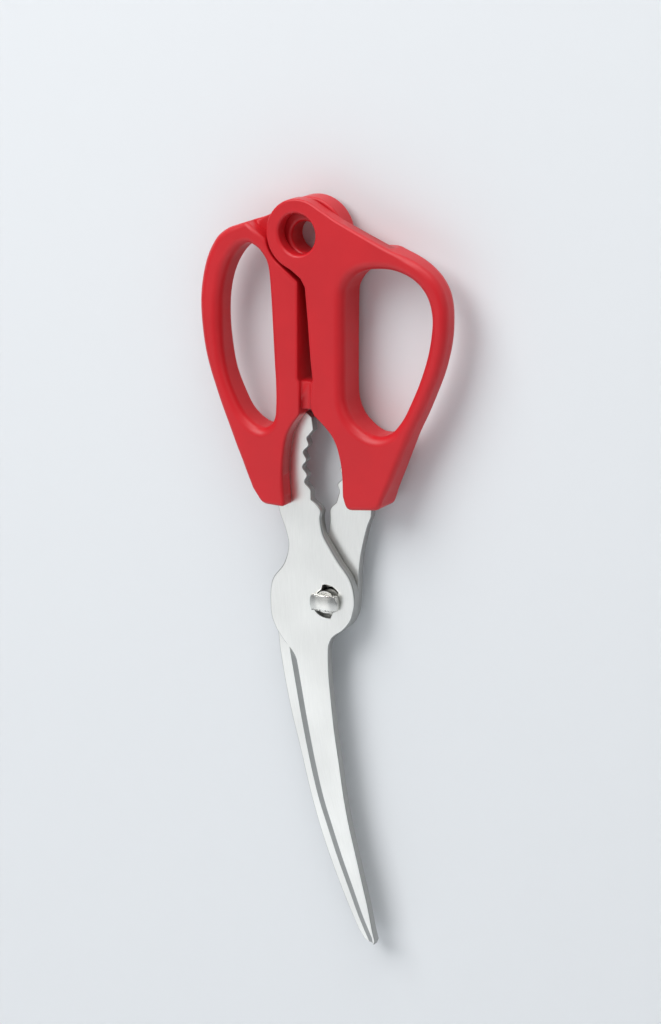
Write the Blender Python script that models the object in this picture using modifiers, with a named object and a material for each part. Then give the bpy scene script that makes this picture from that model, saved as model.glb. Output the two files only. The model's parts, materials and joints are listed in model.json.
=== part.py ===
"""Take-apart poultry shears, closed, hanging by the eye in their handles.

The blades lie in the XZ plane with the front half towards -Y and the tips down. The origin is
on the axis of the hanging eye, in the plane where the two blades meet. Outlines are drawn in
millimetres about the pivot, as (x, z) points, and every object is parented to an empty there.
"""

import math

import bmesh
import bpy
from mathutils import Vector

MM = 0.001

# Clearances, in millimetres like every size below.
FIT_GAP = 0.3
EAR_CLEARANCE = 0.7

# Heights above the pivot. The handle and blade outlines give their heights in hundredths
# of these two lengths.
FOOT_HEIGHT = 31.0
HANDLE_LENGTH = 100.0
BLADE_ROOT = 15.7
BLADE_LENGTH = 100.0

# Steel plates.
PLATE = 2.8
BEVEL_WIDTH = 3.9
BEVEL_WIDTH_AT_TIP = 3.5
BEVEL_RISE = 0.07
TIP_POINTS = 2
TEETH = 4
TOOTH_DEPTH = 0.75
JAW_LOW = 5.2
JAW_HIGH = 22.6
JAW_BOW = 1.7

# Stud.
NECK_DIAMETER = 7.4
HEAD_DIAMETER = 10.4
HEAD_WIDTH = 5.3
HEAD_HEIGHT = 2.6
HEAD_CHAMFER = 0.7
HEAD_TURN = 2.5
RIVET_DIAMETER = 10.0
RIVET_HEIGHT = 0.9
CROWN_SHARES = ((0.0, 0.0), (0.4, 0.1), (0.7, 0.3))
CROWN_DROP = 0.6
RIVET_EDGE = (0.2, 0.4)
RIVET_DOME = (0.7, 0.1)
RELEASE_ANGLE = 110.0

# Handles.
COVER_FRONT = 5.4
COVER_BACK = 1.7
BACK_SLOPE = 8.0
SLOPE_START = 13.0
STOP_GAP_FRONT = 4.0
PAD_X = -6.9
PAD_LOW = 32.0
PAD_HIGH = 42.0
PAD_STEP = 0.8
POCKET_MOUTH = 3.0
PAD_SLANT = 0.7
LUG_RECESS = 1.3
LUG_OVERLAP = 1.0
LUG_RISE = 1.0
LEFT_TOE = 1.4
LEFT_HEEL = 2.0
RIGHT_TOE = 2.2
RIGHT_HEEL = 1.8

# Hanging eye and ears. Arcs and swings are pairs of angles in degrees.
EYE = (-7.8, 89.0)
EYE_BORE = 13.2
RING = (-7.4, 88.8)
EAR_RADIUS = 11.5
EAR_THICKNESS = 4.8
EAR_ARC = (240.0, 66.0)
EAR_SWING = (232.0, 190.0)
REAR_EYE = (-7.6, 87.4)
REAR_EYE_BORE = 10.0
LOBE = (-5.6, 88.2)
LOBE_RADIUS = 12.2
LOBE_ARC = (124.0, -97.0)
LOBE_SWING = (266.0, 345.0)

# Drawing resolution.
STEPS = 5
ARC_STEP = 7.5
TOOTH_POINTS = 8
MITRE_LIMIT = 0.4
CORNER_STEPS = 4
TURN_STEPS = 48
SHARP_ANGLE = 30.0
MERGE_DISTANCE = 0.00001
WELD_DISTANCE = 0.00003

FRONT_PLATE_Y = -FIT_GAP / 2 - PLATE
REAR_PLATE_Y = FIT_GAP / 2
HANDLE_FRONT_Y = FRONT_PLATE_Y - COVER_FRONT
HANDLE_BACK_Y = REAR_PLATE_Y + PLATE + COVER_BACK
EAR_SPLIT_Y = HANDLE_FRONT_Y + EAR_THICKNESS
BEYOND = 40.0


def handle_height(share):
    """Height above the pivot of a share of the handle, in hundredths."""
    return FOOT_HEIGHT + HANDLE_LENGTH * share / 100


def blade_height(share):
    """Height of a share of the blade below its root, in hundredths."""
    return -BLADE_ROOT - BLADE_LENGTH * share / 100


def on_handle(points):
    return [(x, handle_height(share)) for x, share in points]


def on_blade(points):
    return [(x, blade_height(share)) for x, share in points]


def centre_of(spot):
    """A centre on the handle, given as x and a share of the handle's height."""
    return (spot[0], handle_height(spot[1]))


def smooth(points, steps=STEPS, closed=False):
    """Points along a smooth curve through the given ones."""
    count = len(points)
    if closed:
        whole = [points[-1], *points, points[0], points[1]]
    else:
        whole = [points[0], *points, points[-1]]
    spans = count if closed else count - 1
    curve = []
    for i in range(spans):
        a, b, c, d = (Vector(p) for p in whole[i : i + 4])
        for step in range(steps):
            t = step / steps
            point = 2 * b + (c - a) * t + (2 * a - 5 * b + 4 * c - d) * t**2
            point += (3 * b - a - 3 * c + d) * t**3
            curve.append(tuple(point / 2))
    if not closed:
        curve.append(tuple(points[-1]))
    return curve


def arc(centre, radius, start, end):
    """Points of an arc from one angle to another, in degrees, both ends included."""
    steps = max(2, math.ceil(abs(end - start) / ARC_STEP))
    angles = [math.radians(start + (end - start) * i / steps) for i in range(steps + 1)]
    return [(centre[0] + radius * math.cos(a), centre[1] + radius * math.sin(a)) for a in angles]


def circle(centre, radius):
    return arc(centre, radius, 0, 360)[:-1]


def turned(points, degrees):
    """The points turned about the pivot."""
    c = math.cos(math.radians(degrees))
    s = math.sin(math.radians(degrees))
    return [(x * c - z * s, x * s + z * c) for x, z in points]


def rounded_corner(before, corner, after, radius):
    """An arc-like corner between two straight stretches."""
    corner = Vector(corner)
    start = corner + (Vector(before) - corner).normalized() * radius
    end = corner + (Vector(after) - corner).normalized() * radius
    shares = [i / CORNER_STEPS for i in range(CORNER_STEPS + 1)]
    return [tuple(start * (1 - t) ** 2 + corner * 2 * t * (1 - t) + end * t**2) for t in shares]


def widened(points, gap):
    """A closed outline moved outwards by a gap. Its points run clockwise."""
    count = len(points)
    moved = []
    for i in range(count):
        before = Vector(points[i - 1])
        here = Vector(points[i])
        after = Vector(points[(i + 1) % count])
        first = (here - before).normalized()
        second = (after - here).normalized()
        normal = Vector((-first.y - second.y, first.x + second.x)).normalized()
        reach = gap / max(MITRE_LIMIT, normal.dot(Vector((-second.y, second.x))))
        moved.append(tuple(here + normal * reach))
    return moved


def clear_scene():
    for obj in list(bpy.data.objects):
        bpy.data.objects.remove(obj)


def new_collection(name, hidden=False):
    collection = bpy.data.collections.new(name)
    collection.hide_render = hidden
    bpy.context.scene.collection.children.link(collection)
    return collection


def material(name, colour, roughness, metallic):
    made = bpy.data.materials.new(name)
    made.use_nodes = True
    shader = made.node_tree.nodes["Principled BSDF"]
    shader.inputs["Base Color"].default_value = (*colour, 1)
    shader.inputs["Roughness"].default_value = roughness
    shader.inputs["Metallic"].default_value = metallic
    return made


def flat_piece(name, outlines, low, high, collection):
    """A mesh object: flat outlines, with any holes, between two Y planes, still unparented."""
    data = bpy.data.curves.new(name, "CURVE")
    data.dimensions = "2D"
    data.fill_mode = "BOTH"
    data.extrude = (high - low) / 2 * MM
    for outline in outlines:
        spline = data.splines.new("POLY")
        spline.points.add(len(outline) - 1)
        for point, (x, z) in zip(spline.points, outline):
            point.co = (x * MM, z * MM, 0, 1)
        spline.use_cyclic_u = True
    drawn = bpy.data.objects.new(name + "_outline", data)
    collection.objects.link(drawn)
    bpy.context.view_layer.update()
    graph = bpy.context.evaluated_depsgraph_get()
    mesh = bpy.data.meshes.new_from_object(drawn.evaluated_get(graph))
    mesh.name = name
    bpy.data.objects.remove(drawn)
    bm = bmesh.new()
    bm.from_mesh(mesh)
    bmesh.ops.remove_doubles(bm, verts=bm.verts, dist=MERGE_DISTANCE)
    # The outline's own Y becomes Z, and its thickness lies along Y.
    for vert in bm.verts:
        x, z, depth = vert.co
        vert.co = (x, (low + high) / 2 * MM - depth, z)
    bmesh.ops.recalc_face_normals(bm, faces=bm.faces)
    bm.to_mesh(mesh)
    bm.free()
    piece = bpy.data.objects.new(name, mesh)
    collection.objects.link(piece)
    return piece


def finish(piece, pivot, finish_material):
    piece.parent = pivot
    piece.data.materials.append(finish_material)
    piece.data.shade_smooth()
    piece.data.set_sharp_from_angle(angle=math.radians(SHARP_ANGLE))


def cut(piece, cutter, pivot):
    cutter.parent = pivot
    cutter.hide_render = True
    cutter.display_type = "WIRE"
    modifier = piece.modifiers.new(cutter.name, "BOOLEAN")
    modifier.operation = "DIFFERENCE"
    modifier.object = cutter


def weld(piece):
    """Join the points that cuts leave next to each other."""
    modifier = piece.modifiers.new("weld", "WELD")
    modifier.merge_threshold = WELD_DISTANCE


def bevel_width(height):
    """Width of the ground bevel: it rises from nothing at the root, and narrows at the tip."""
    share = max(0, -BLADE_ROOT - height) / BLADE_LENGTH
    rise = 1 - (1 - min(1, share / BEVEL_RISE)) ** 2
    return rise * (BEVEL_WIDTH - (BEVEL_WIDTH - BEVEL_WIDTH_AT_TIP) * share**3)


def grind(piece, edge, face_y, side):
    """Move the outer rim of a cutting edge inwards, which makes its side wall the ground bevel.

    The edge runs from the tip to the root, with the blade to its right for side 1, else its left.
    Round the tip the rim runs straight to the spine's end, which is the edge's first point.
    """
    bm = bmesh.new()
    bm.from_mesh(piece.data)
    last = len(edge) - 1
    spine_end = Vector((edge[0][0], face_y, edge[0][1])) * MM
    for i in range(last, 0, -1):
        x, z = edge[i]
        rim = Vector((x, face_y, z)) * MM
        if i > TIP_POINTS:
            along = (Vector(edge[min(last, i + 1)]) - Vector(edge[i - 1])).normalized()
            width = side * bevel_width(z) * MM
            moved = rim + Vector((along.y, 0, -along.x)) * width
        else:
            moved = spine_end.lerp(moved, i / (i + 1))
        vert = min(bm.verts, key=lambda vert: (vert.co - rim).length)
        vert.co = moved
    bm.to_mesh(piece.data)
    bm.free()


def jaw(start, end, middle, side):
    """The wavy nutcracker edge from one height to another, bowed round a middle line."""
    pitch = (start - end) / (TEETH - 0.5)
    points = []
    steps = TOOTH_POINTS * TEETH - 3
    for i in range(steps):
        height = start - (start - end) * i / (steps - 1)
        bow = JAW_BOW * (2 * (height - (start + end) / 2) / (start - end)) ** 2
        wave = TOOTH_DEPTH * math.cos(2 * math.pi * (start - height) / pitch)
        points.append((middle - side * (bow - wave), height))
    return points


def front_plate_outline():
    """The front blade with its tang, clockwise from the tang's top, and its edge from the tip."""
    tang = on_handle([(-12.8, 61.5), (-10.4, 61.5), (-9.6, 59.0), (-9.6, 36.0), (-8.7, 31.8)])
    apex = on_handle([(-6.4, 30.2), (-5.3, 29.3), (-4.8, 25.2)])
    teeth = jaw(handle_height(JAW_HIGH), handle_height(JAW_LOW), -8.1, -1)
    neck = [(-5.7, 33.2), (-2.0, 30.4), (-2.1, 27.3), (-1.2, 22.7), (1.4, 18.5), (4.8, 13.8)]
    boss = [(8.2, 9.8), (10.1, 5.4), (10.4, 0.9), (9.9, -2.0), (8.8, -5.3), (6.0, -8.8)]
    heel = [(2.6, -11.4), (1.1, -13.9)]
    spine = on_blade(
        [(0.7, 1.2), (0.9, 8.9), (1.7, 16.6), (2.9, 26.9), (4.6, 37.4), (6.5, 49.4), (8.4, 58.7)]
        + [(10.6, 67.2), (13.0, 76.4), (15.5, 85.8), (17.2, 93.5), (18.3, 97.6)]
    )
    edge = on_blade([(17.7, 99.2), (16.6, 99.7)]) + smooth(
        on_blade(
            [(14.6, 99.5), (10.5, 91.3), (6.7, 82.2), (2.4, 71.9), (-1.5, 61.5), (-4.8, 52.2)]
            + [(-7.9, 40.5), (-10.9, 26.9), (-13.3, 14.5), (-15.2, 4.6), (-15.9, 0.0)]
        )
    )
    side = [(-18.7, -12.1), (-20.5, -8.0), (-21.0, -3.0), (-20.8, 1.9), (-19.6, 5.6)]
    waist = [(-15.8, 10.6), (-14.1, 16.7), (-15.1, 21.7), (-17.6, 28.3)]
    grip = on_handle([(-18.2, 3.0), (-16.9, 14.0), (-14.2, 27.0), (-13.6, 36.0), (-13.6, 59.0)])
    outline = tang + apex + teeth + smooth(neck + boss + heel + spine)
    outline += edge + smooth(side + waist + grip)
    return outline, edge


def rear_plate_outline():
    """The rear blade with its tang, clockwise from the tang's top, and its edge from the tip."""
    tang = on_handle([(1.6, 61.5), (4.0, 61.5), (4.8, 59.0), (4.8, 33.0)])
    grip = on_handle([(6.6, 27.0), (10.2, 18.0), (13.2, 8.0), (14.8, 0.0)])
    side = [(13.2, 25.9), (11.3, 18.3), (10.4, 12.0), (10.1, 6.0), (9.9, 1.0)]
    heel = [(9.0, -4.2), (6.6, -8.0), (2.6, -10.6), (-1.0, -13.4)]
    edge = smooth(
        on_blade(
            [(-2.6, 1.6), (-3.2, 8.3), (-2.7, 18.3), (-1.5, 29.3), (0.4, 40.3), (2.8, 51.3)]
            + [(5.4, 61.3), (8.6, 71.3), (12.0, 81.3), (14.8, 91.3), (16.4, 98.6)]
        )
    )
    edge += on_blade([(14.8, 99.8), (12.7, 99.1)])
    spine = on_blade(
        [(10.6, 96.3), (6.2, 87.7), (1.1, 76.5), (-3.7, 64.4), (-7.9, 51.3), (-11.4, 38.1)]
        + [(-14.9, 25.4), (-17.2, 15.3), (-19.1, 5.1)]
    )
    boss = [(-19.9, -14.1), (-20.3, -9.0), (-20.1, -4.0), (-18.6, 1.4), (-15.0, 6.0)]
    neck = [(-9.5, 10.4), (-4.6, 15.5), (-1.4, 21.0), (-0.5, 26.1), (-0.4, 30.1), (1.9, 32.6)]
    teeth = jaw(handle_height(JAW_LOW), handle_height(JAW_HIGH), 3.9, 1)
    apex = on_handle([(0.6, 25.2), (0.8, 29.3), (1.0, 33.0), (1.0, 59.0)])
    outline = tang + smooth(grip + side + heel) + edge
    outline += smooth(spine + boss + neck) + teeth + apex
    return outline, edge[::-1]


def keyhole():
    """The front blade's hole: a round bore for the neck, with notches that let the head through."""
    bore = NECK_DIAMETER / 2 + FIT_GAP
    reach = HEAD_DIAMETER / 2 + FIT_GAP
    half = HEAD_WIDTH / 2 + FIT_GAP
    outer = math.degrees(math.asin(half / reach))
    inner = math.degrees(math.asin(half / bore))
    quarter = arc((0, 0), reach, -outer, outer) + arc((0, 0), bore, inner, 180 - inner)
    return turned(quarter + turned(quarter, 180), HEAD_TURN - RELEASE_ANGLE)


def left_handle_outlines():
    """The left handle's outer outline, clockwise, and its finger loop."""
    foot = on_handle([(-12.6, 0.0), (-21.0, 0.0)])
    outer = on_handle(
        [(-24.7, 4.6), (-28.6, 12.8), (-33.8, 24.1), (-38.2, 34.9), (-42.0, 46.0), (-44.0, 57.6)]
        + [(-44.0, 68.1), (-42.2, 76.9), (-38.9, 83.9), (-34.4, 88.0), (-28.6, 90.4)]
        + [(-21.5, 93.0), (-16.2, 96.0)]
    )
    ear = arc(centre_of(LOBE), LOBE_RADIUS, *LOBE_ARC)
    slot = on_handle([(PAD_X - PAD_STEP, 74.0), (PAD_X - PAD_STEP, PAD_HIGH + PAD_SLANT)])
    pad = on_handle([(PAD_X, PAD_HIGH), (PAD_X, PAD_LOW)])
    inner = on_handle(
        [(-7.2, 30.8), (-9.9, 27.2), (-12.0, 22.9), (-13.1, 16.5), (-13.4, 10.0), (-13.0, 4.0)]
    )
    toe = rounded_corner(inner[-1], foot[0], foot[1], LEFT_TOE)
    heel = rounded_corner(foot[0], foot[1], outer[0], LEFT_HEEL)
    outline = toe + heel + smooth(outer + ear[:1]) + ear[1:] + slot + pad + smooth(inner)
    loop = smooth(
        on_handle(
            [(-25.4, 84.3), (-20.6, 81.8), (-18.2, 76.4), (-17.4, 64.0), (-16.6, 48.0), (-16.0, 33.5)]
            + [(-17.6, 27.0), (-22.0, 24.9), (-28.0, 28.4), (-32.7, 36.2), (-35.5, 45.0)]
            + [(-36.6, 56.0), (-36.4, 66.7), (-34.2, 75.2), (-30.2, 81.8)]
        ),
        closed=True,
    )
    return [outline, loop, circle(centre_of(REAR_EYE), REAR_EYE_BORE / 2)]


def right_handle_outlines():
    """The right handle's outer outline, clockwise, and its finger loop."""
    ear = arc(centre_of(RING), EAR_RADIUS, *EAR_ARC)
    outer = on_handle(
        [(6.4, 94.6), (15.6, 90.8), (24.8, 87.3), (31.8, 85.1), (36.6, 82.9), (40.6, 80.0)]
        + [(43.6, 76.0), (45.1, 71.2), (45.4, 66.0), (45.1, 60.5), (43.8, 54.1), (41.6, 47.3)]
        + [(37.2, 37.2), (33.2, 29.3), (29.4, 20.6), (26.2, 13.2), (23.4, 7.4)]
    )
    foot = on_handle([(21.8, 3.4), (10.0, 1.9)])
    inner = on_handle(
        [(8.7, 6.4), (8.6, 12.0), (8.0, 17.0), (6.6, 22.2), (4.6, 25.8), (1.6, 28.8), (-1.6, 31.4)]
    )
    front = PAD_X + STOP_GAP_FRONT
    pad = on_handle([(front, PAD_LOW + 2.0), (front, PAD_HIGH)])
    slot = on_handle([(front + PAD_STEP, PAD_HIGH + PAD_SLANT), (front, 49.4), (-3.9, 61.9), (-4.9, 72.4)])
    bridge = on_handle([(-6.5, 75.0), (-9.8, 77.3)])
    heel = rounded_corner(outer[-1], foot[0], foot[1], RIGHT_HEEL)
    toe = rounded_corner(foot[0], foot[1], inner[0], RIGHT_TOE)
    outline = ear + smooth(outer) + heel + toe + smooth(inner) + pad + slot + bridge
    loop = smooth(
        on_handle(
            [(8.6, 70.0), (9.5, 74.0), (12.2, 77.6), (16.2, 79.7), (20.6, 80.5), (25.0, 80.7)]
            + [(30.0, 79.8), (34.5, 77.6), (37.9, 74.0), (39.6, 69.4), (39.9, 64.0), (38.6, 55.6)]
            + [(36.1, 47.4), (32.9, 39.8), (29.7, 33.6), (26.0, 29.2), (21.6, 27.2), (16.8, 27.7)]
            + [(12.0, 30.8), (9.3, 35.4), (8.6, 41.0), (8.6, 56.0)]
        ),
        closed=True,
    )
    return [outline, loop, circle(centre_of(EYE), EYE_BORE / 2)]


def ring_relief():
    """What the right handle's ear needs cleared from the front of the left handle."""
    swing = arc(centre_of(RING), EAR_RADIUS + EAR_CLEARANCE, *EAR_SWING)
    top = handle_height(100)
    right = BEYOND
    step = on_handle([(-23.8, 89.2), (-31.0, 95.4)])
    closing = [(-31.0, top + BEYOND), (right, top + BEYOND), (right, handle_height(73.4))]
    return on_handle([(PAD_X, 73.4)]) + swing + step + closing


def lobe_relief():
    """What the left handle's ear needs cleared from the back of the right handle."""
    swing = arc(centre_of(LOBE), LOBE_RADIUS + EAR_CLEARANCE, *LOBE_SWING)
    top = handle_height(100)
    shoulder = on_handle([(14.0, 85.8), (18.0, 86.6), (21.0, 87.1), (23.6, 87.3), (25.6, 87.1)])
    closing = [(shoulder[-1][0], top + BEYOND), (-BEYOND, top + BEYOND)]
    return swing + shoulder + closing + on_handle([(-BEYOND, 74.0), (PAD_X, 74.0)])


def block(name, xs, ys, zs, collection):
    """A box between two x, two y and two z values."""
    bm = bmesh.new()
    bmesh.ops.create_cube(bm, size=1)
    for vert in bm.verts:
        low_to_high = (ends[vert.co[axis] > 0] for axis, ends in enumerate((xs, ys, zs)))
        vert.co = [value * MM for value in low_to_high]
    return new_mesh(name, bm, collection)


def new_mesh(name, bm, collection):
    bmesh.ops.recalc_face_normals(bm, faces=bm.faces)
    mesh = bpy.data.meshes.new(name)
    bm.to_mesh(mesh)
    bm.free()
    piece = bpy.data.objects.new(name, mesh)
    collection.objects.link(piece)
    return piece


def sloped_back(name, side, collection):
    """A block that slopes the back of a handle away from its tang, towards its loop."""
    ends = (0, 2 * BEYOND) if side > 0 else (-2 * BEYOND, 0)
    slope = block(name, ends, (0, BEYOND), (0, handle_height(100) + BEYOND), collection)
    slope.location = (side * SLOPE_START * MM, HANDLE_BACK_Y * MM, 0)
    slope.rotation_euler = (0, 0, -side * math.radians(BACK_SLOPE))
    return slope


def stud_profile():
    """Radius and distance behind the meeting plane, from the head's crown to the rivet's end.

    The crown's points are shares of the head's radius and drops below its top.
    """
    under_head = FRONT_PLATE_Y - FIT_GAP
    top = under_head - HEAD_HEIGHT
    head = HEAD_DIAMETER / 2
    neck = NECK_DIAMETER / 2
    rivet = RIVET_DIAMETER / 2
    back = REAR_PLATE_Y + PLATE + FIT_GAP
    end = back + RIVET_HEIGHT
    crown = [(head * share, top + drop) for share, drop in CROWN_SHARES]
    crown += [(head - HEAD_CHAMFER, top + CROWN_DROP), (head, top + CROWN_DROP + HEAD_CHAMFER)]
    shank = [(head, under_head), (neck, under_head), (neck, back), (rivet, back)]
    edge = (rivet - RIVET_EDGE[0], back + RIVET_EDGE[1])
    return crown + shank + [edge, (rivet * RIVET_DOME[0], end - RIVET_DOME[1]), (0, end)]


def make_stud(collection, cutters, pivot):
    """The stud: turned about the pivot axis, with two flats cut on its head."""
    mesh = bpy.data.meshes.new("pivot_stud")
    profile = stud_profile()
    points = [(radius * MM, 0, -depth * MM) for radius, depth in profile]
    mesh.from_pydata(points, [(i, i + 1) for i in range(len(points) - 1)], [])
    stud = bpy.data.objects.new("pivot_stud", mesh)
    collection.objects.link(stud)
    stud.rotation_euler = (math.radians(90), 0, 0)
    screw = stud.modifiers.new("turn", "SCREW")
    screw.steps = TURN_STEPS
    screw.render_steps = TURN_STEPS
    screw.use_merge_vertices = True
    screw.merge_threshold = MERGE_DISTANCE
    under_head = FRONT_PLATE_Y - FIT_GAP
    wide = (-HEAD_DIAMETER, HEAD_DIAMETER)
    deep = (under_head - 2 * HEAD_HEIGHT, under_head)
    flat = HEAD_WIDTH / 2
    for label, tall in (("upper", (flat, HEAD_DIAMETER)), ("lower", (-HEAD_DIAMETER, -flat))):
        side = block(f"stud_flat_{label}", wide, deep, tall, cutters)
        side.rotation_euler = (0, -math.radians(HEAD_TURN), 0)
        cut(stud, side, pivot)
    return stud


def tang_pocket(name, outline, low, high, collection):
    """The hollow in a handle that its blade's tang fills, with a gap all round."""
    inside = [point for point in outline if point[1] > FOOT_HEIGHT - POCKET_MOUTH]
    return flat_piece(name, [widened(inside, FIT_GAP)], low - FIT_GAP, high + FIT_GAP, collection)


def make_blades(collection, pivot, steel):
    front, front_edge = front_plate_outline()
    rear, rear_edge = rear_plate_outline()
    outlines = [front, keyhole()]
    blade = flat_piece("front_blade", outlines, FRONT_PLATE_Y, FRONT_PLATE_Y + PLATE, collection)
    grind(blade, front_edge, FRONT_PLATE_Y, 1)
    finish(blade, pivot, steel)
    outlines = [rear, circle((0, 0), NECK_DIAMETER / 2 + FIT_GAP)]
    blade = flat_piece("rear_blade", outlines, REAR_PLATE_Y, REAR_PLATE_Y + PLATE, collection)
    grind(blade, rear_edge, REAR_PLATE_Y + PLATE, -1)
    finish(blade, pivot, steel)
    return front, rear


def make_left_handle(collection, cutters, pivot, plastic, tang):
    handle = flat_piece(
        "left_handle", left_handle_outlines(), HANDLE_FRONT_Y, HANDLE_BACK_Y, collection
    )
    finish(handle, pivot, plastic)
    lug_x = (PAD_X - LUG_OVERLAP, PAD_X + STOP_GAP_FRONT - FIT_GAP)
    lug_y = (HANDLE_FRONT_Y + LUG_RECESS, HANDLE_BACK_Y - LUG_OVERLAP)
    lug_z = (handle_height(PAD_LOW + LUG_RISE), handle_height(PAD_HIGH))
    cut(handle, block("stop_lug", lug_x, lug_y, lug_z, cutters), pivot)
    handle.modifiers[-1].operation = "UNION"
    relief = flat_piece(
        "ring_relief", [ring_relief()], HANDLE_FRONT_Y - BEYOND, EAR_SPLIT_Y + FIT_GAP, cutters
    )
    cut(handle, relief, pivot)
    cut(handle, sloped_back("left_back_slope", -1, cutters), pivot)
    low = FRONT_PLATE_Y
    cut(handle, tang_pocket("front_tang_pocket", tang, low, low + PLATE, cutters), pivot)
    weld(handle)


def make_right_handle(collection, cutters, pivot, plastic, tang):
    handle = flat_piece(
        "right_handle", right_handle_outlines(), HANDLE_FRONT_Y, HANDLE_BACK_Y, collection
    )
    finish(handle, pivot, plastic)
    relief = flat_piece(
        "lobe_relief", [lobe_relief()], EAR_SPLIT_Y, HANDLE_BACK_Y + BEYOND, cutters
    )
    cut(handle, relief, pivot)
    cut(handle, sloped_back("right_back_slope", 1, cutters), pivot)
    low = REAR_PLATE_Y
    cut(handle, tang_pocket("rear_tang_pocket", tang, low, low + PLATE, cutters), pivot)
    weld(handle)


def main():
    clear_scene()
    collection = new_collection("poultry_shears")
    cutters = new_collection("cutters", hidden=True)
    pivot = bpy.data.objects.new("pivot", None)
    pivot.location = (-EYE[0] * MM, 0, -handle_height(EYE[1]) * MM)
    collection.objects.link(pivot)
    steel = material("satin_steel", (0.72, 0.72, 0.7), 0.32, 1.0)
    bright = material("bright_steel", (0.78, 0.78, 0.77), 0.18, 1.0)
    plastic = material("red_plastic", (0.56, 0.025, 0.035), 0.4, 0.0)
    front, rear = make_blades(collection, pivot, steel)
    finish(make_stud(collection, cutters, pivot), pivot, bright)
    make_left_handle(collection, cutters, pivot, plastic, front)
    make_right_handle(collection, cutters, pivot, plastic, rear)


main()
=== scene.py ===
"""Looks of a pair of take-apart poultry shears, laid out as a Blender add-on and run as a script.

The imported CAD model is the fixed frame: every piece is made from it or set out from its pivot.
Lengths are in metres unless a name or a comment says millimetres.
"""

import json
import math

import bmesh
import bpy
from bpy.props import FloatProperty, FloatVectorProperty, IntProperty, PointerProperty
from mathutils import Matrix, Vector


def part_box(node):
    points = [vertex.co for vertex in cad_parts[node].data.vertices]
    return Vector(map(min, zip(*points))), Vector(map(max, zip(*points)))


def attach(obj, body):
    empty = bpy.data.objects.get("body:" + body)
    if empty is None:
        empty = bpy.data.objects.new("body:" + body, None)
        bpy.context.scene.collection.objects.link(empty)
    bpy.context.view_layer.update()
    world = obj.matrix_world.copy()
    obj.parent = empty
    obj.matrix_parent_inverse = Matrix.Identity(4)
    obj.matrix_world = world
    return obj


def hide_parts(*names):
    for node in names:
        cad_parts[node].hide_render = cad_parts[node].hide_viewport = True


bl_info = {
    "name": "Poultry Shears",
    "version": (1, 0, 0),
    "blender": (4, 5, 0),
    "location": "View3D > Sidebar > Shears",
    "description": "Finishes the blades, stud and handles of a pair of poultry shears",
    "category": "Object",
}

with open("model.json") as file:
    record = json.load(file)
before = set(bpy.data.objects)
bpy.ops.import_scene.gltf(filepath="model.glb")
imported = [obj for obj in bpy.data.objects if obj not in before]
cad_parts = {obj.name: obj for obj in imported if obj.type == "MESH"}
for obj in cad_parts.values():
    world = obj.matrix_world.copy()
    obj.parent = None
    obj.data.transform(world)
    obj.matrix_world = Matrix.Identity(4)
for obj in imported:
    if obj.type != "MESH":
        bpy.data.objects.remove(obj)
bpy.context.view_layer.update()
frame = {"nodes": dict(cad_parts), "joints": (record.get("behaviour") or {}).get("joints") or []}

MM = 0.001
PIVOT = Vector(frame["joints"][0]["pos_m"])
FRONT_BODY = "front_half"
REAR_BODY = "rear_half"
FRONT_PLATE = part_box("front_blade")
REAR_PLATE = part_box("rear_blade")
HANDLE_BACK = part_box("right_handle")[1].y

# How the CAD meshes are read: joined points, flat faces made whole, and which way faces look.
# A face under SMALLEST_PLANE of its group's area is too small to give a plane.
MERGE_DISTANCE = 2e-6
FLAT_ANGLE = math.radians(0.3)
SHARP_ANGLE = math.radians(30)
FACING = 0.95
SIDEWAYS = 0.3
SAME_PLANE = 0.9998
SMALLEST_PLANE = 0.02
RIDGE_ANGLE = math.radians(2)
FLAT_MARGIN = 0.00015
BEVEL_WEIGHT = "bevel_weight_edge"

# A handle's inner flats stay sharp: the forward-looking ones behind INNER_FRONT and the
# back-looking ones between the levels of INNER_BACK, in metres. LEVEL tells a flat from a slope.
# The front ear's back is sharp too, further right of the pivot than EAR_END_MM.
INNER_FRONT = -0.003
INNER_BACK = (-0.0034, 0.0028)
LEVEL = 0.9999
EAR_END_MM = 14

# The stud: its clearance, the drop of its domed faces, and its neck and rivet.
STUD_GAP = 0.0003
HEAD_DOME = 0.0006
RIVET_DOME = 0.0003
RIVET_RADIUS = 0.005
RIVET_CROWN = 0.86
NECK_RADIUS = 0.0037
NECK_OVERLAP = 0.0005

# Faces across a blade's chamfer, round a turned piece, along the stud's head, rivet and
# corner, and across the edges of its flats.
CHAMFER_STEPS = 3
TURN_STEPS = 96
HEAD_STEPS = 8
RIVET_STEPS = 6
CORNER_STEPS = 5
EDGE_STEPS = 3

# The stage. Each light has its azimuth and elevation in degrees, its distance and its side.
CAMERA_TARGET = Vector((0.007631, 0, -0.090836))
CAMERA_DISTANCE = 1.15
CAMERA_AZIMUTH = math.radians(30)
CAMERA_ELEVATION = math.radians(15.5)
CAMERA_LENS = 126.34
FLOOR_Z = -0.7
SHEET_SIZE = 4
WORLD_COLOUR = (0.82, 0.85, 0.88, 1)
WORLD_STRENGTH = 0.28
LIGHTS = {
    "key": (-30, 40, 1.8, 1.3),
    "fill": (55, 20, 2.0, 1.4),
    "top": (25, 72, 1.6, 1.0),
    "card": (-30, -14, 1.0, 0.6),
}

# Finger loops, as centre and half-extents, and the ears' eyes, about the pivot in millimetres.
LEFT_LOOP_MM = ((-26.3, 85.6), (11.5, 31.5))
RIGHT_LOOP_MM = ((24.2, 85.0), (17.0, 28.6))
FRONT_EYE_MM = (-7.8, 120.0)
REAR_EYE_MM = (-7.6, 118.4)
EYE_REACH_MM = 7.5

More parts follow.
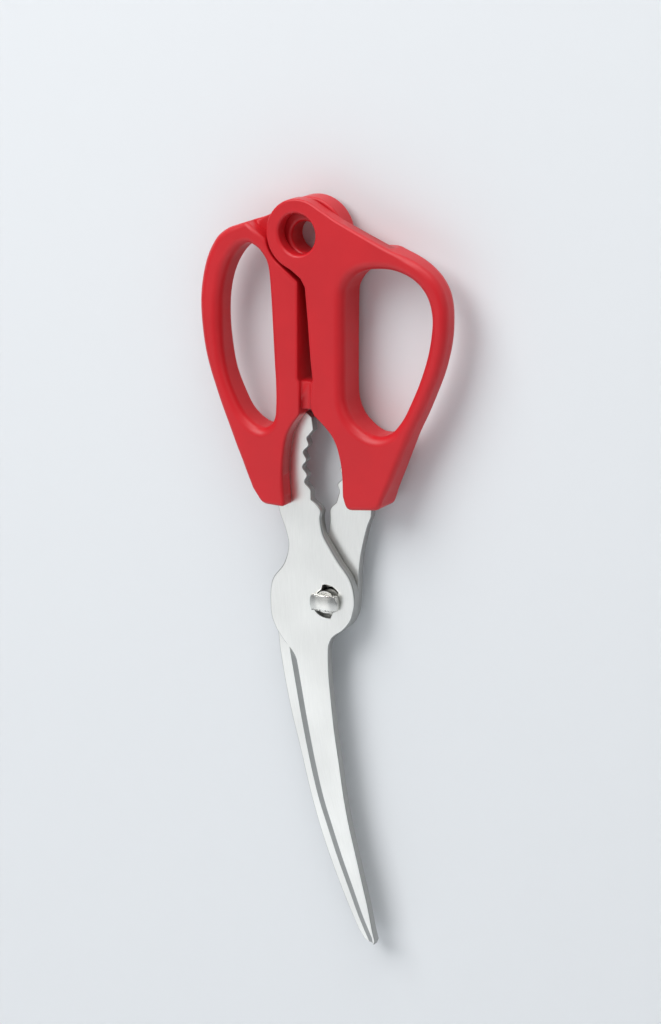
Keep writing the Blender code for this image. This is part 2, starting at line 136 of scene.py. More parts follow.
# Rounding of the handles' outlines and loops: x, height above the pivot and radius, in
# millimetres. Between these spots the radius runs smoothly from one to the next, and
# SPOT_REACH keeps the pull of a near spot from growing without end.
SPOT_REACH = 0.1
RIGHT_FRONT_SPOTS = (
    (-18, 112, 0.7), (-15, 128, 0.7), (-8, 131, 0.7), (5, 126, 0.7), (15, 122, 0.8),
    (25, 118, 1.1), (33, 115, 1.9), (41, 111, 2.3), (45, 100, 2.3), (44, 86, 2.3),
    (38, 70, 2.3), (32, 57, 2.2), (26, 44, 1.8), (22, 35, 1.4), (16, 33, 1.2),
    (9.5, 33.5, 1.2), (8.7, 42, 0.9), (6, 54, 0.8), (0, 60, 0.7), (-2.9, 66, 0.6),
    (-3, 80, 0.6), (-4, 95, 0.6), (-8, 108, 0.6),
)
RIGHT_BACK_SPOTS = (
    (-18, 112, 0.5), (-8, 131, 0.5), (5, 122, 0.6), (12, 117, 1.6), (17, 117.4, 2.2),
    (21, 118, 3.0), (25, 118.2, 3.3), (29, 117, 3.3), (33, 115.5, 3.3), (41, 111, 3.5),
    (45, 100, 3.5), (44, 86, 3.5), (38, 70, 3.6), (32, 57, 3.6), (26, 44, 3.2),
    (22, 35, 1.8), (16, 33, 1.2), (9.5, 33.5, 1.2), (8.7, 42, 1.0), (0, 60, 0.8),
    (-3, 80, 0.7), (-8, 108, 0.5),
)
RIGHT_LOOP_FRONT_SPOTS = (
    (8.6, 60, 3.0), (8.6, 85, 3.0), (9, 105, 3.0), (14, 110, 2.9), (24, 111.6, 2.8),
    (32, 110, 2.5), (39, 102, 2.3), (40, 92, 2.3), (37, 80, 2.2), (33, 71, 2.2),
    (29, 63, 2.4), (25, 59, 2.9), (20, 58, 3.0), (12, 61, 3.0),
)
RIGHT_LOOP_BACK_SPOTS = (
    (8.6, 60, 2.5), (8.6, 85, 2.5), (9, 105, 2.2), (14, 110, 1.8), (24, 111.6, 1.5),
    (39, 102, 1.3), (40, 92, 1.3), (37, 80, 1.2), (33, 71, 1.2), (29, 63, 1.5),
    (25, 59, 2.2), (20, 58, 2.5), (12, 61, 2.5),
)
LEFT_FRONT_SPOTS = (
    (-12, 127, 0.5), (-18, 126, 0.5), (-21, 124, 0.5), (-31, 120.4, 1.8), (-36, 118, 2.4),
    (-40, 113.5, 2.9), (-43.5, 104, 3.0), (-44, 88, 2.9), (-42, 77, 2.6), (-38, 66, 2.5),
    (-34, 56, 2.6), (-29, 44, 2.2), (-24.5, 35, 1.6), (-20, 31.4, 1.2), (-13, 31.4, 0.9),
    (-13, 45, 0.7), (-10, 58, 0.7), (-6.9, 65, 0.6), (-7.7, 90, 0.6), (-7.7, 105, 0.6),
    (-15, 108, 0.8), (-17, 110, 0.5), (-19, 114, 0.6), (-20, 118, 0.9), (-23, 120, 1.3),
    (-27, 124, 1.5),
)
LEFT_BACK_SPOTS = (
    (5, 125, 1.5), (-5, 131, 1.5), (-12, 128, 1.4), (-21, 124, 1.4), (-31, 120.4, 2.6),
    (-40, 113.5, 3.8), (-44, 96, 4.0), (-42, 77, 3.6), (-38, 66, 3.4), (-34, 56, 3.6),
    (-29, 44, 3.2), (-24.5, 35, 1.8), (-20, 31.4, 1.2), (-13, 31.4, 0.9), (-13, 45, 0.9),
    (-10, 58, 0.8), (-6.9, 65, 0.7), (-7.7, 90, 0.8), (-7.7, 105, 0.8),
)
LEFT_LOOP_FRONT_SPOTS = (
    (-16, 65, 1.8), (-17, 85, 1.8), (-17.4, 98, 1.6), (-18, 105, 1.3), (-20.6, 112, 1.2),
    (-23, 114.3, 1.5), (-26.5, 115, 2.2), (-30, 113, 2.8), (-34, 106, 3.2), (-36.6, 90, 3.2),
    (-35.5, 76, 2.8), (-32.7, 67, 2.6), (-28, 59.5, 2.8), (-22, 56, 3.0), (-17.6, 58, 2.4),
)
LEFT_LOOP_BACK_SPOTS = (
    (-16, 65, 1.6), (-17, 85, 1.6), (-18, 105, 1.6), (-20.6, 112, 1.8), (-25.4, 115.3, 2.0),
    (-34, 106, 2.5), (-36.6, 90, 2.5), (-35.5, 76, 1.8), (-32.7, 67, 1.6), (-28, 59.5, 2.2),
    (-22, 56, 2.5), (-17.6, 58, 2.2),
)
# Easing of the front blade's front edges, given in the same way.
PLATE_SPOTS = (
    (-8, 50, 0.28), (-5.7, 33, 0.28), (-2, 29, 0.7), (1.4, 18.5, 0.8), (6, 12, 0.8),
    (9.5, 6, 0.6), (10.4, 0, 0.35), (5, -10, 0.28), (1, -30, 0.28), (8, -75, 0.28),
    (-20, 0, 0.28), (-15, 15, 0.28), (-18, 30, 0.28), (-5, -60, 0.28), (0, 0, 0.28),
)

# Blade grain: the blades curve round this point, which the grain follows, and the marks of
# grinding are waves along the arc.
GRAIN_CENTRE = (0.345, -0.105)
GRIND_WAVES = 3600.0

# The least opening of a corner that its rounding still follows in full.
NARROWEST_MITRE = 0.5


def about_pivot(x_mm, z_mm):
    """The (x, z) of a place given in millimetres about the pivot."""
    return Vector((PIVOT.x + x_mm * MM, PIVOT.z + z_mm * MM))


class Wire:
    """A shader socket. Python's operators on wires and numbers add their Math nodes."""

    def __init__(self, tree, socket=None):
        self.tree = tree
        self.socket = socket

    def node(self, kind, settings, inputs, output=0):
        """Add a node: its settings first, then the values or wires of its sockets."""
        made = self.tree.nodes.new(kind)
        for name, value in settings.items():
            setattr(made, name, value)
        for name, value in inputs.items():
            if isinstance(value, Wire):
                self.tree.links.new(value.socket, made.inputs[name])
            else:
                made.inputs[name].default_value = value
        return Wire(self.tree, made.outputs[output])

    def math(self, operation, *values):
        return self.node("ShaderNodeMath", {"operation": operation}, dict(enumerate(values)))

    def __add__(self, other):
        return self.math("ADD", self, other)

    def __radd__(self, other):
        return self.math("ADD", other, self)

    def __sub__(self, other):
        return self.math("SUBTRACT", self, other)

    def __rsub__(self, other):
        return self.math("SUBTRACT", other, self)

    def __mul__(self, other):
        return self.math("MULTIPLY", self, other)

    def __rmul__(self, other):
        return self.math("MULTIPLY", other, self)

    def __pow__(self, other):
        return self.math("POWER", self, other)

    def __abs__(self):
        return self.math("ABSOLUTE", self)

    def step(self, low, high):
        """0 below low and 1 above high, smoothly between; a low above high turns it round."""
        settings = {"interpolation_type": "SMOOTHSTEP"}
        inputs = {"Value": self, "From Min": low, "From Max": high}
        return self.node("ShaderNodeMapRange", settings, inputs)

    def axes(self):
        """The x, y and z of a vector."""
        split = self.node("ShaderNodeSeparateXYZ", {}, {"Vector": self}).socket.node
        return [Wire(self.tree, socket) for socket in split.outputs]

    def vector(self, x, y, z):
        return self.node("ShaderNodeCombineXYZ", {}, {"X": x, "Y": y, "Z": z})

    def noise(self, scale, detail=2.0, roughness=0.5):
        """Noise over this vector, from 0 to 1 about 0.5."""
        inputs = {"Vector": self, "Scale": scale, "Detail": detail, "Roughness": roughness}
        return self.node("ShaderNodeTexNoise", {}, inputs, "Fac")

    def blend(self, first, second):
        """A mix of two colours, with this wire as the share of the second."""
        return self.node("ShaderNodeMix", {"data_type": "RGBA"}, {0: self, 6: first, 7: second}, 2)

    def bump(self, strength, distance):
        return self.node(
            "ShaderNodeBump", {}, {"Height": self, "Strength": strength, "Distance": distance}
        )


def new_material(name, constants):
    """A Principled material with its constant sockets set, and a wire to build on."""
    made = bpy.data.materials.new(name)
    made.use_nodes = True
    tree = made.node_tree
    shader = tree.nodes["Principled BSDF"]
    for socket, value in constants.items():
        shader.inputs[socket].default_value = value
    return made, Wire(tree), shader


def plug(wire, shader, socket):
    wire.tree.links.new(wire.socket, shader.inputs[socket])


def shade(colour, share=1.0):
    """A colour brought down to a share of itself, with its alpha."""
    return (*(channel * share for channel in colour), 1)


def moulded_plastic(colour, roughness):
    """Satin red plastic with a fine moulded grain and slight unevenness of colour."""
    constants = {"IOR": 1.49, "Specular IOR Level": 0.42}
    made, wire, shader = new_material("red_moulded_plastic", constants)
    place = wire.node("ShaderNodeTexCoord", {}, {}, "Object")
    patches = place.noise(scale=60, detail=3)
    grain = place.noise(scale=3200, detail=2)
    drift = patches.step(0.3, 0.7)
    plug(drift.blend(shade(colour, 0.93), shade(colour)), shader, "Base Color")
    plug(roughness - 0.03 + patches * 0.06 + grain * 0.05, shader, "Roughness")
    height = grain + patches * 0.3
    plug(height.bump(strength=0.12, distance=0.00006), shader, "Normal")
    return made


def blade_steel(name, colour, bevel_colour, wall_shade_colour):
    """Satin steel with its grain along the blade, a ground bevel, and rougher sheared side walls
    darkened by painted shade.
    """
    made, wire, shader = new_material(name, {"Metallic": 1.0})
    place = wire.node("ShaderNodeTexCoord", {}, {}, "Object")
    x, y, z = place.axes()
    facing = abs(wire.node("ShaderNodeTexCoord", {}, {}, "Normal").axes()[1])
    across_x = x - GRAIN_CENTRE[0]
    across_z = z - GRAIN_CENTRE[1]
    radius = (across_x * across_x + across_z * across_z) ** 0.5
    along = wire.math("ARCTAN2", across_z, across_x)
    fine = wire.vector(radius, along * 0.012, y)
    streaks = fine.noise(scale=5200, detail=3, roughness=0.6)
    smears = wire.vector(radius * 3.0, along * 0.3, y).noise(scale=50, detail=3)
    # Side walls: a rougher sheared finish, and a darker colour that is painted shade.
    wall = facing.step(0.6, 0.35)
    ground = facing.step(0.97, 0.9) * (1 - wall)
    serrations = wire.math("SINE", along * GRIND_WAVES)
    cloud = place.noise(scale=28, detail=2)
    tone = streaks.step(0.2, 0.8) * 0.4 + cloud.step(0.35, 0.65) * 0.6
    face = tone.blend(shade(colour, 0.84), shade(colour))
    steel = ground.blend(face, shade(bevel_colour))
    plug(wall.blend(steel, shade(wall_shade_colour)), shader, "Base Color")
    rough = 0.27 + smears * 0.08 + streaks * 0.06 + wall * 0.1 + ground * 0.05
    plug(rough, shader, "Roughness")
    height = streaks * (1 - ground * 0.5) + serrations * ground * 0.35
    plug(height.bump(strength=0.1, distance=0.00004), shader, "Normal")
    return made


def polished_steel(colour, roughness):
    """Bright steel of the stud, tumbled smooth, with faint handling marks."""
    made, wire, shader = new_material("polished_stud_steel", {"Metallic": 1.0})
    place = wire.node("ShaderNodeTexCoord", {}, {}, "Object")
    marks = place.noise(scale=700, detail=4, roughness=0.6)
    cloud = place.noise(scale=260, detail=2)
    tone = cloud.step(0.35, 0.65)
    plug(tone.blend(shade(colour, 0.86), shade(colour)), shader, "Base Color")
    plug(roughness + marks * 0.12, shader, "Roughness")
    height = marks + cloud * 0.8
    plug(height.bump(strength=0.18, distance=0.00008), shader, "Normal")
    return made


def merged_copy(node):
    """A copy of a CAD node: its triangles joined, and its flat faces made whole."""
    bm = bmesh.new()
    bm.from_mesh(frame["nodes"][node].data)
    bmesh.ops.remove_doubles(bm, verts=bm.verts, dist=MERGE_DISTANCE)
    bmesh.ops.dissolve_limit(bm, angle_limit=FLAT_ANGLE, verts=bm.verts, edges=bm.edges)
    bm.normal_update()
    return bm


def middle(edge):
    return (edge.verts[0].co + edge.verts[1].co) / 2


def radius_at(spot, spots):
    """The radius at an (x, z) place, run smoothly between the spots round it, in metres."""
    total = 0.0
    share = 0.0
    for x_mm, z_mm, radius_mm in spots:
        distance = (spot - about_pivot(x_mm, z_mm)).length / MM
        weight = 1 / (distance**3 + SPOT_REACH)
        total += weight * radius_mm
        share += weight
    return total / share * MM


def flat_caps(bm):
    """Each group of joined flat faces that look the same way, forwards or back."""
    left = {face for face in bm.faces if abs(face.normal.y) > FACING}
    groups = []
    while left:
        group = [left.pop()]
        for face in group:
            for edge in face.edges:
                for other in edge.link_faces:
                    if other in left and other.normal.dot(face.normal) > FACING:
                        left.remove(other)
                        group.append(other)
        groups.append(group)
    return groups


class Cap:
    """A flat group of faces, with how far and which way each vertex of its rim is rounded."""

    def __init__(self, faces, radius_of):
        self.faces = faces
        self.out = math.copysign(1, faces[0].normal.y)
        self.planes = []
        self.ridges = []
        self.rims = []
        self.inwards = {}
        self.radii = {}
        inside = set(faces)
        least = SMALLEST_PLANE * sum(face.calc_area() for face in faces)
        for face in faces:
            new = all(face.normal.dot(normal) < SAME_PLANE for normal, _ in self.planes)
            if new and face.calc_area() > least:
                self.planes.append((face.normal.copy(), face.calc_center_median()))
            for edge in face.edges:
                beyond = [other for other in edge.link_faces if other not in inside]
                if beyond:
                    self.add_rim(edge, face, beyond[0], radius_of)
                elif edge.calc_face_angle(0) > RIDGE_ANGLE:
                    self.ridges.append([vert.co.copy() for vert in edge.verts])
        self.starts = {vert: vert.co.copy() for vert in self.radii}

    def add_rim(self, edge, face, wall, radius_of):
        """Note an edge of the cap: its radius, and the way from its wall into the cap."""
        outer = edge.is_convex and abs(wall.normal.y) < SIDEWAYS
        radius = radius_of(edge, face, wall) if outer else 0
        if radius:
            self.rims.append(edge)
        way = -Vector((wall.normal.x, 0, wall.normal.z)).normalized()
        for vert in edge.verts:
            ways = self.inwards.setdefault(vert, [])
            ways.append(way)
            whole = self.radii.get(vert, radius)
            shared = (whole + radius) / 2 if whole and radius else 0
            # A vertex where more than two rim edges meet stays where it is.
            self.radii[vert] = shared if len(ways) < 3 else 0

    def surface(self, place):
        """The y of the cap at a place, where its planes meet in a ridge."""
        heights = []
        for normal, point in self.planes:
            run = normal.x * (place.x - point.x) + normal.z * (place.z - point.z)
            heights.append(self.out * (point.y - run / normal.y))
        return self.out * min(heights)

    def place(self, vert, share):
        """Where a rim vertex goes: 0 on the wall, 1 on the flat, and a margin past either end."""
        radius = self.radii[vert]
        start = self.starts[vert]
        if not radius:
            return start
        if share < 0:
            return start - Vector((0, self.out * (radius + FLAT_MARGIN), 0))
        turn = math.radians(90) * min(share, 1)
        across = radius * (1 - math.cos(turn)) + (FLAT_MARGIN if share > 1 else 0)
        first, second = self.inwards[vert]
        opening = max(NARROWEST_MITRE, 1 + first.dot(second))
        moved = start + (first + second) / opening * across
        moved.y = self.surface(moved) - self.out * radius * (1 - math.sin(turn))
        return moved


def round_cap(bm, cap, steps):
    """Round the rims of a cap: rings of faces lead from its walls to a smaller flat."""
    bmesh.ops.delete(bm, geom=cap.faces, context="FACES")
    for vert in cap.starts:
        vert.co = cap.place(vert, -1)
    rim = cap.rims
    first_of = {vert: vert for vert in cap.starts}
    merges = {}
    for ring in range(steps + 2):
        made = bmesh.ops.extrude_edge_only(bm, edges=rim)["geom"]
        added = {}
        for vert in made:
            if isinstance(vert, bmesh.types.BMVert):
                ends = (edge.other_vert(vert) for edge in vert.link_edges)
                first = next(first_of[end] for end in ends if end in first_of)
                added[vert] = first
                vert.co = cap.place(first, ring / steps)
                if not cap.radii[first]:
                    merges[vert] = first
        edges = (item for item in made if isinstance(item, bmesh.types.BMEdge))
        rim = [edge for edge in edges if all(vert in added for vert in edge.verts)]
        first_of = added
    bmesh.ops.weld_verts(bm, targetmap=merges)
    rim = [edge for edge in bm.edges if edge.is_boundary]
    made = bmesh.ops.triangle_fill(bm, use_beauty=True, edges=rim, normal=(0, cap.out, 0))
    flat = {item for item in made["geom"] if isinstance(item, bmesh.types.BMFace)}
    for start, end in cap.ridges:
        around = {part for face in flat for part in (*face.verts, *face.edges)}
        made = bmesh.ops.bisect_plane(
            bm,
            geom=[*around, *flat],
            dist=MERGE_DISTANCE,
            plane_co=start,
            plane_no=(end - start).cross(Vector((0, 1, 0))),
        )
        flat = {item for item in made["geom"] if isinstance(item, bmesh.types.BMFace)}
    for vert in {vert for face in flat for vert in face.verts}:
        if vert not in cap.starts:
            vert.co.y = cap.surface(vert.co)


def round_rims(bm, radius_of, steps):
    """Round the rims between walls and flats by radius_of(edge, flat, wall), in metres."""
    found = [Cap(group, radius_of) for group in flat_caps(bm)]
    for cap in found:
        if any(cap.radii.values()):
            round_cap(bm, cap, steps)
    bmesh.ops.recalc_face_normals(bm, faces=bm.faces)
    if not all(edge.is_manifold for edge in bm.edges):
        raise ValueError("rounding left an open edge")


def in_loop(spot, wall, loop):
    """True for a wall of the finger loop, which looks towards the loop's centre."""
    centre = about_pivot(*loop[0])
    away = spot - centre
    inside = abs(away.x) < loop[1][0] * MM and abs(away.y) < loop[1][1] * MM
    return inside and away.dot(Vector((wall.normal.x, wall.normal.z))) < 0


def new_piece(name, bm, material, body, node):
    """A finished piece from a bmesh, which stands for its CAD node and rides on its body."""
    mesh = bpy.data.meshes.new(name)
    bm.to_mesh(mesh)
    bm.free()
    mesh.shade_smooth()
    mesh.set_sharp_from_angle(angle=SHARP_ANGLE)
    mesh.materials.append(material)
    piece = bpy.data.objects.new(name, mesh)
    bpy.context.scene.collection.objects.link(piece)
    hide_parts(node)
    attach(piece, body)
    return piece


def round_edges(piece, width, segments):
    """Round the weighted edges of a piece."""
    rounding = piece.modifiers.new("rounding", "BEVEL")
    rounding.limit_method = "WEIGHT"
    rounding.offset_type = "OFFSET"
    rounding.width = width
    rounding.segments = segments
    rounding.profile = 0.5
    rounding.use_clamp_overlap = False
    rounding.harden_normals = True


def make_grip(name, node, body, loop, eye, spots, loop_spots, settings, material):
    """A handle with its rims rounded by the radius that each place asks for."""
    bm = merged_copy(node)

    def radius_of(edge, flat, wall):
        place = middle(edge)
        spot = Vector((place.x, place.z))
        forwards = flat.normal.y < 0
        level = abs(flat.normal.y) > LEVEL
        inner = place.y > INNER_FRONT if forwards else INNER_BACK[0] < place.y < INNER_BACK[1]
        if level and inner:
            return 0
        if (spot - about_pivot(*eye)).length < EYE_REACH_MM * MM:
            return settings.eye_rounding
        if level and not forwards and place.y < 0:
            return settings.ear_rounding if spot.x < about_pivot(EAR_END_MM, 0).x else 0
        if in_loop(spot, wall, loop):
            return radius_at(spot, loop_spots[0 if forwards else 1])
        return radius_at(spot, spots[0 if forwards else 1])

    round_rims(bm, radius_of, settings.rounding_steps)
    return new_piece(name, bm, material, body, node)


def make_plate(name, node, body, settings, material):
    """A blade with its sheared outline eased by a fine chamfer, and its cutting edge left keen."""
    bm = merged_copy(node)

    def radius_of(edge, flat, wall):
        if body == FRONT_BODY and flat.normal.y < 0:
            place = middle(edge)
            return radius_at(Vector((place.x, place.z)), PLATE_SPOTS)
        return settings.chamfer

    round_rims(bm, radius_of, CHAMFER_STEPS)
    return new_piece(name, bm, material, body, node)


def turned(bm, profile):
    """A profile of (radius, y) points, on the axis at both ends, turned about the pivot's axis."""
    points = [bm.verts.new((PIVOT.x + radius, y, PIVOT.z)) for radius, y in profile]
    edges = [bm.edges.new(pair) for pair in zip(points, points[1:])]
    bmesh.ops.spin(
        bm,
        geom=points + edges,
        cent=PIVOT,
        axis=(0, 1, 0),
        angle=math.tau,
        steps=TURN_STEPS,
        use_merge=True,
    )
    bmesh.ops.remove_doubles(bm, verts=bm.verts, dist=MERGE_DISTANCE)
    bmesh.ops.recalc_face_normals(bm, faces=bm.faces)


def domed(rim, height, end, steps):
    """Points of a shallow dome from its crown on the axis to its rim."""
    points = []
    for i in range(steps + 1):
        share = i / steps
        points.append((rim * share, end + height * share**2))
    return points


def make_stud(settings, material):
    """The stud: a domed T-head with two flats, its neck, and its riveted end."""
    low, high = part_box("pivot_stud")
    under_head = FRONT_PLATE[0].y - STUD_GAP
    head = (high.x - low.x) / 2
    face = settings.head_face / 2
    side = low.y + HEAD_DOME + (head - face)
    bm = bmesh.new()
    profile = domed(face, HEAD_DOME, low.y, HEAD_STEPS)
    rise = side - profile[-1][1]
    for i in range(1, CORNER_STEPS + 1):
        turn = math.radians(90) * i / CORNER_STEPS
        profile.append((face + (head - face) * math.sin(turn), side - rise * math.cos(turn)))
    profile += [(head, under_head), (0, under_head)]
    turned(bm, profile)
    tilt = Matrix.Rotation(-settings.head_turn, 3, "Y")
    for way in (1, -1):
        normal = tilt @ Vector((0, 0, way))
        cut = bmesh.ops.bisect_plane(
            bm,
            geom=bm.verts[:] + bm.edges[:] + bm.faces[:],
            plane_co=PIVOT + normal * settings.head_width / 2,
            plane_no=normal,
            clear_outer=True,
        )
        rim = [item for item in cut["geom_cut"] if isinstance(item, bmesh.types.BMEdge)]
        bmesh.ops.contextual_create(bm, geom=rim)
    bmesh.ops.recalc_face_normals(bm, faces=bm.faces)
    weights = bm.edges.layers.float.new(BEVEL_WEIGHT)
    for edge in bm.edges:
        if edge.calc_face_angle(0) > SHARP_ANGLE:
            edge[weights] = 1.0
    neck = bmesh.new()
    start = under_head - NECK_OVERLAP
    back = REAR_PLATE[1].y + STUD_GAP
    crown = domed(RIVET_RADIUS * RIVET_CROWN, -RIVET_DOME, high.y, RIVET_STEPS)
    profile = [(0, start), (NECK_RADIUS, start), (NECK_RADIUS, back)]
    profile += [(RIVET_RADIUS, back), (RIVET_RADIUS, back + RIVET_DOME), *crown[::-1]]
    turned(neck, profile)
    shank = bpy.data.meshes.new("stud_shank")
    neck.to_mesh(shank)
    neck.free()
    bm.from_mesh(shank)
    bpy.data.meshes.remove(shank)
    piece = new_piece("pivot_t_stud", bm, material, REAR_BODY, "pivot_stud")
    round_edges(piece, settings.edge_rounding, EDGE_STEPS)
    return piece


class ShearsBladeSettings(bpy.types.PropertyGroup):
    colour: FloatVectorProperty(
        name="Steel",
        description="Colour of the flat steel",
        subtype="COLOR",
        default=(0.98, 0.98, 0.95),
    )
    bevel_colour: FloatVectorProperty(
        name="Ground bevel",
        description="Colour of the ground cutting bevel",
        subtype="COLOR",
        default=(0.36, 0.365, 0.36),
    )
    # The side walls' colour is painted shade, darker than the faces.
    wall_shade_colour: FloatVectorProperty(
        name="Side walls",
        description="Colour of the sheared side walls",
        subtype="COLOR",
        default=(0.42, 0.42, 0.41),
    )
    chamfer: FloatProperty(
        name="Chamfer", description="Width of the eased edges", unit="LENGTH", default=0.00028
    )


class ShearsStudSettings(bpy.types.PropertyGroup):
    colour: FloatVectorProperty(
        name="Stud",
        description="Colour of the polished stud",
        subtype="COLOR",
        default=(0.78, 0.775, 0.74),
    )
    roughness: FloatProperty(
        name="Roughness", description="Roughness of the stud", subtype="FACTOR", default=0.16
    )
    head_face: FloatProperty(
        name="Head face", description="Width of the domed face", unit="LENGTH", default=0.0089
    )
    head_width: FloatProperty(
        name="Across flats",
        description="Distance between the flats",
        unit="LENGTH",
        default=0.0053,
    )
    head_turn: FloatProperty(
        name="Head turn",
        description="Tilt of the head's long side",
        subtype="ANGLE",
        default=math.radians(2.5),
    )
    edge_rounding: FloatProperty(
        name="Edge rounding",
        description="Rounding of the flats' edges",
        unit="LENGTH",
        default=0.0003,
    )


class ShearsGripSettings(bpy.types.PropertyGroup):
    colour: FloatVectorProperty(
        name="Plastic",
        description="Colour of the handles",
        subtype="COLOR",
        default=(0.58, 0.011, 0.018),
    )
    roughness: FloatProperty(
        name="Roughness", description="Roughness of the plastic", subtype="FACTOR", default=0.34
    )
    eye_rounding: FloatProperty(
        name="Eye rounding",
        description="Rounding of the hanging eye",
        unit="LENGTH",
        default=0.001,
    )
    ear_rounding: FloatProperty(
        name="Ear rounding",
        description="Rounding behind the front ear",
        unit="LENGTH",
        default=0.0005,
    )
    rounding_steps: IntProperty(
        name="Rounding steps", description="Faces across a rounded rim", default=6
    )


class ShearsStageSettings(bpy.types.PropertyGroup):
    colour: FloatVectorProperty(
        name="Backdrop",
        description="Colour of the floor and wall",
        subtype="COLOR",
        default=(0.76, 0.78, 0.80),
    )
    wall_gap: FloatProperty(
        name="Wall gap",
        description="Distance from the handles to the wall",
        unit="LENGTH",
        default=0.002,
    )
    key_power: FloatProperty(
        name="Key light", description="Power of the key light", unit="POWER", default=24.5
    )
    fill_power: FloatProperty(
        name="Fill light", description="Power of the fill light", unit="POWER", default=3.4
    )
    top_power: FloatProperty(
        name="Top light", description="Power of the light overhead", unit="POWER", default=11.0
    )
    card_power: FloatProperty(
        name="Low card",
        description="Power of the low card that the blades mirror",
        unit="POWER",
        default=0.48,
    )


class SHEARS_OT_blades(bpy.types.Operator):
    """Make the two finished blades"""

    bl_idname = "shears.blades"
    bl_label = "Make Blades"

    def execute(self, context):
        settings = context.scene.shears_blades
        steel = blade_steel(
            "blade_steel", settings.colour, settings.bevel_colour, settings.wall_shade_colour
        )
        make_plate("front_blade_plate", "front_blade", FRONT_BODY, settings, steel)
        make_plate("rear_blade_plate", "rear_blade", REAR_BODY, settings, steel)
        return {"FINISHED"}


class SHEARS_OT_stud(bpy.types.Operator):
    """Make the stud that the front blade turns on"""

    bl_idname = "shears.stud"
    bl_label = "Make Stud"

    def execute(self, context):
        settings = context.scene.shears_stud
        make_stud(settings, polished_steel(settings.colour, settings.roughness))
        return {"FINISHED"}


class SHEARS_OT_grips(bpy.types.Operator):
    """Make the two plastic handles"""

    bl_idname = "shears.grips"
    bl_label = "Make Handles"

    def execute(self, context):
        settings = context.scene.shears_grips
        plastic = moulded_plastic(settings.colour, settings.roughness)
        make_grip(
            "left_grip",
            "left_handle",
            FRONT_BODY,
            LEFT_LOOP_MM,
            REAR_EYE_MM,
            (LEFT_FRONT_SPOTS, LEFT_BACK_SPOTS),
            (LEFT_LOOP_FRONT_SPOTS, LEFT_LOOP_BACK_SPOTS),
            settings,
            plastic,
        )
        make_grip(
            "right_grip",
            "right_handle",
            REAR_BODY,
            RIGHT_LOOP_MM,
            FRONT_EYE_MM,
            (RIGHT_FRONT_SPOTS, RIGHT_BACK_SPOTS),
            (RIGHT_LOOP_FRONT_SPOTS, RIGHT_LOOP_BACK_SPOTS),
            settings,
            plastic,
        )
        return {"FINISHED"}


def direction(azimuth, elevation):
    """The unit vector towards a place seen from the object, from the front and the level."""
    level = math.cos(elevation)
    return Vector((math.sin(azimuth) * level, -math.cos(azimuth) * level, math.sin(elevation)))


def aim(thing, place, target):
    thing.location = place
    thing.rotation_euler = (place - target).to_track_quat("Z", "Y").to_euler()


def add_camera():
    data = bpy.data.cameras.new("camera")
    data.lens = CAMERA_LENS
    camera = bpy.data.objects.new("camera", data)
    bpy.context.scene.collection.objects.link(camera)
    way = direction(CAMERA_AZIMUTH, CAMERA_ELEVATION)
    aim(camera, CAMERA_TARGET + way * CAMERA_DISTANCE, CAMERA_TARGET)
    bpy.context.scene.camera = camera


def add_light(name, azimuth, elevation, distance, size, power):
    data = bpy.data.lights.new(name, "AREA")
    data.shape = "SQUARE"
    data.size = size
    data.energy = power
    light = bpy.data.objects.new(name, data)
    light.visible_camera = False
    bpy.context.scene.collection.objects.link(light)
    way = direction(math.radians(azimuth), math.radians(elevation))
    aim(light, CAMERA_TARGET + way * distance, CAMERA_TARGET)


def add_sheet(name, matrix, material):
    """A large flat sheet of the stage."""
    bm = bmesh.new()
    bmesh.ops.create_grid(bm, x_segments=1, y_segments=1, size=SHEET_SIZE, matrix=matrix)
    mesh = bpy.data.meshes.new(name)
    bm.to_mesh(mesh)
    bm.free()
    mesh.materials.append(material)
    sheet = bpy.data.objects.new(name, mesh)
    bpy.context.scene.collection.objects.link(sheet)


def backdrop(name, colour, one_sided):
    """Plain matt paint. A one-sided sheet lets its back be looked through."""
    made, wire, shader = new_material(name, {"Roughness": 0.9, "Base Color": shade(colour)})
    if one_sided:
        clear = wire.node("ShaderNodeBsdfTransparent", {}, {})
        behind = wire.node("ShaderNodeNewGeometry", {}, {}, "Backfacing")
        paint = Wire(wire.tree, shader.outputs[0])
        shown = wire.node("ShaderNodeMixShader", {}, {0: behind, 1: paint, 2: clear})
        output = wire.tree.nodes["Material Output"]
        wire.tree.links.new(shown.socket, output.inputs["Surface"])
    return made


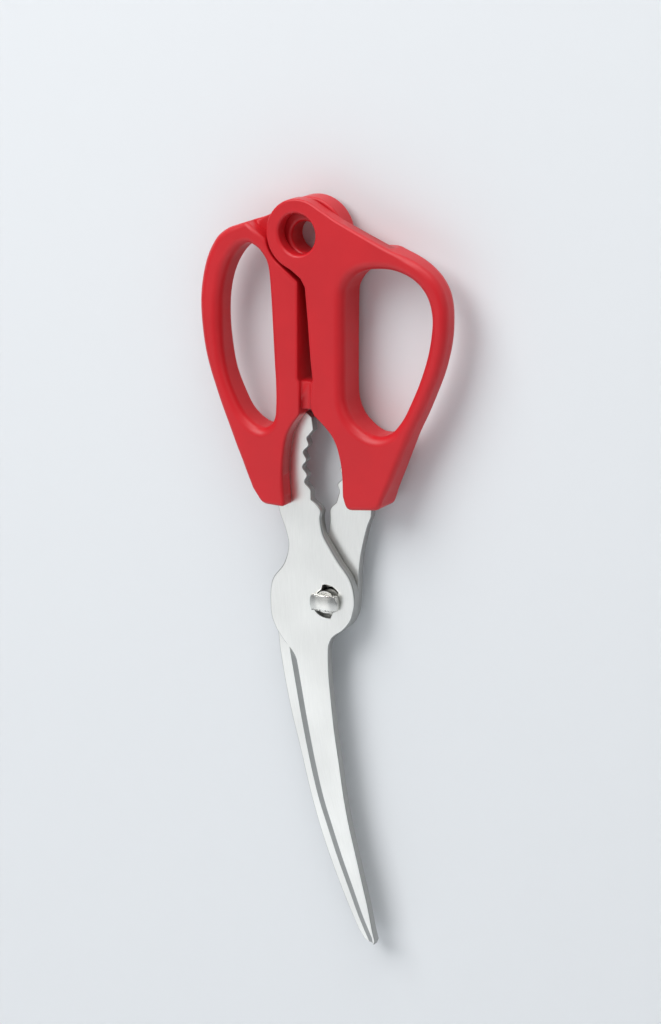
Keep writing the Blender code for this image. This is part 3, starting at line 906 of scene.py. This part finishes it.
class SHEARS_OT_stage(bpy.types.Operator):
    """Set out the camera, the lights, the floor and the wall"""

    bl_idname = "shears.stage"
    bl_label = "Set Stage"

    def execute(self, context):
        settings = context.scene.shears_stage
        context.scene.view_settings.view_transform = "Standard"
        add_camera()
        floor = Matrix.Translation((0, 0, FLOOR_Z))
        add_sheet("floor", floor, backdrop("floor_paint", settings.colour, False))
        upright = Matrix.Rotation(math.radians(90), 4, "X")
        wall = Matrix.Translation((0, HANDLE_BACK + settings.wall_gap, 0)) @ upright
        add_sheet("wall", wall, backdrop("wall_paint", settings.colour, True))
        for name, place in LIGHTS.items():
            add_light(name, *place, getattr(settings, name + "_power"))
        world = bpy.data.worlds.new("studio")
        world.use_nodes = True
        background = world.node_tree.nodes["Background"]
        background.inputs["Color"].default_value = WORLD_COLOUR
        background.inputs["Strength"].default_value = WORLD_STRENGTH
        context.scene.world = world
        return {"FINISHED"}


class SHEARS_PT_panel(bpy.types.Panel):
    """Sizes and finishes of the shears"""

    bl_idname = "SHEARS_PT_panel"
    bl_label = "Poultry Shears"
    bl_space_type = "VIEW_3D"
    bl_region_type = "UI"
    bl_category = "Shears"

    def draw(self, context):
        for group, operator in GROUPS.items():
            box = self.layout.box()
            settings = getattr(context.scene, group)
            for name in type(settings).__annotations__:
                box.prop(settings, name)
            box.operator(operator)


GROUPS = {
    "shears_blades": "shears.blades",
    "shears_stud": "shears.stud",
    "shears_grips": "shears.grips",
    "shears_stage": "shears.stage",
}
SETTINGS = {
    "shears_blades": ShearsBladeSettings,
    "shears_stud": ShearsStudSettings,
    "shears_grips": ShearsGripSettings,
    "shears_stage": ShearsStageSettings,
}
OTHER_CLASSES = (
    SHEARS_OT_blades,
    SHEARS_OT_stud,
    SHEARS_OT_grips,
    SHEARS_OT_stage,
    SHEARS_PT_panel,
)


def register():
    for name, settings in SETTINGS.items():
        bpy.utils.register_class(settings)
        setattr(bpy.types.Scene, name, PointerProperty(type=settings))
    for made in OTHER_CLASSES:
        bpy.utils.register_class(made)


def unregister():
    for made in reversed(OTHER_CLASSES):
        bpy.utils.unregister_class(made)
    for name, settings in SETTINGS.items():
        delattr(bpy.types.Scene, name)
        bpy.utils.unregister_class(settings)


def main():
    register()
    bpy.ops.shears.blades()
    bpy.ops.shears.stud()
    bpy.ops.shears.grips()
    bpy.ops.shears.stage()


if __name__ == "__main__":
    main()
